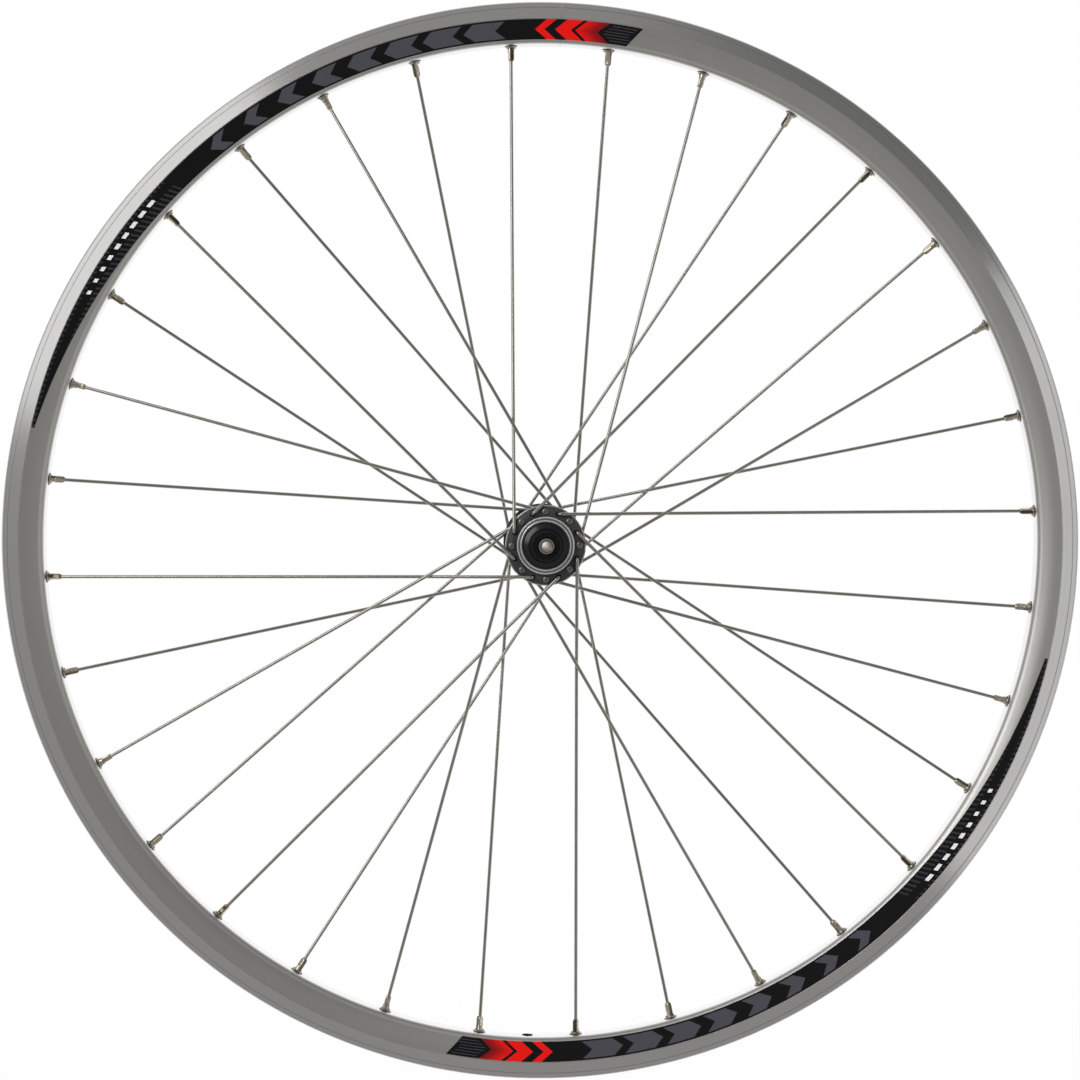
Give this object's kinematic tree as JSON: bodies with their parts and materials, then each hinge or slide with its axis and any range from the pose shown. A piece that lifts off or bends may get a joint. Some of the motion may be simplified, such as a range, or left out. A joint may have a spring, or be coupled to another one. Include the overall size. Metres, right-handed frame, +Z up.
{
  "type": "bicycle front wheel",
  "caption": "Spoked bicycle front wheel without a tyre: hollow alloy rim, crossed wire spokes and a black hub that turns on ball bearings about a hollow axle.",
  "frame": {"origin": "centre of the wheel, on the axle's axis and the rim's middle plane", "axes": "+Y along the axle towards the left of the bicycle, +Z up with the valve hole at -Z, +X forwards"},
  "size_m": [0.634, 0.108, 0.634],
  "materials": {
    "rim": "satin anodised with turned brake tracks",
    "eyelet": "pressed and plated",
    "nipple": "nickel plated",
    "spoke": "drawn stainless wire",
    "hub": "black anodised",
    "dust_cap": "pressed and plated",
    "bearing": "ground and greased",
    "axle": "turned, fine thread",
    "black_steel": "blackened",
    "seal": "moulded",
    "sticker": "printed film"
  },
  "bodies": {
    "axle": {"axle": "axle", "bearing_cone_right": "bearing", "bearing_cone_left": "bearing", "dust_seal_right": "seal", "dust_seal_left": "seal", "lock_washer_right": "black_steel", "lock_washer_left": "black_steel", "locknut_right": "black_steel", "locknut_left": "black_steel"},
    "wheel": {"rim": "rim", "rim_joint_sleeve": "rim", "rim_eyelets": "eyelet", "spoke_nipples": "nipple", "spoke_01": "spoke", "spoke_02": "spoke", "spoke_03": "spoke", "spoke_04": "spoke", "spoke_05": "spoke", "spoke_06": "spoke", "spoke_07": "spoke", "spoke_08": "spoke", "spoke_09": "spoke", "spoke_10": "spoke", "spoke_11": "spoke", "spoke_12": "spoke", "spoke_13": "spoke", "spoke_14": "spoke", "spoke_15": "spoke", "spoke_16": "spoke", "spoke_17": "spoke", "spoke_18": "spoke", "spoke_19": "spoke", "spoke_20": "spoke", "spoke_21": "spoke", "spoke_22": "spoke", "spoke_23": "spoke", "spoke_24": "spoke", "spoke_25": "spoke", "spoke_26": "spoke", "spoke_27": "spoke", "spoke_28": "spoke", "spoke_29": "spoke", "spoke_30": "spoke", "spoke_31": "spoke", "spoke_32": "spoke", "hub_shell": "hub", "bearing_cup_right": "bearing", "bearing_cup_left": "bearing", "dust_cap_right": "dust_cap", "dust_cap_left": "dust_cap", "rim_sticker_right_1": "sticker", "rim_sticker_right_2": "sticker", "rim_sticker_left_1": "sticker", "rim_sticker_left_2": "sticker"},
    "cage_right": {"ball_retainer_right": "bearing", "bearing_balls_right": "bearing"},
    "cage_left": {"ball_retainer_left": "bearing", "bearing_balls_left": "bearing"}
  },
  "joints": [
    {"name": "wheel_spin", "type": "hinge", "parent": "axle", "child": "wheel", "pos_m": [0, 0, 0], "axis": [0, 1, 0], "continuous": true},
    {"name": "cage_right_spin", "type": "hinge", "parent": "axle", "child": "cage_right", "pos_m": [0, 0, 0], "axis": [0, 1, 0], "continuous": true},
    {"name": "cage_left_spin", "type": "hinge", "parent": "axle", "child": "cage_left", "pos_m": [0, 0, 0], "axis": [0, 1, 0], "continuous": true}
  ],
  "couplings": [
    {"joint": "cage_right_spin", "follows": "wheel_spin", "ratio": 0.5905},
    {"joint": "cage_left_spin", "follows": "wheel_spin", "ratio": 0.5905}
  ]
}
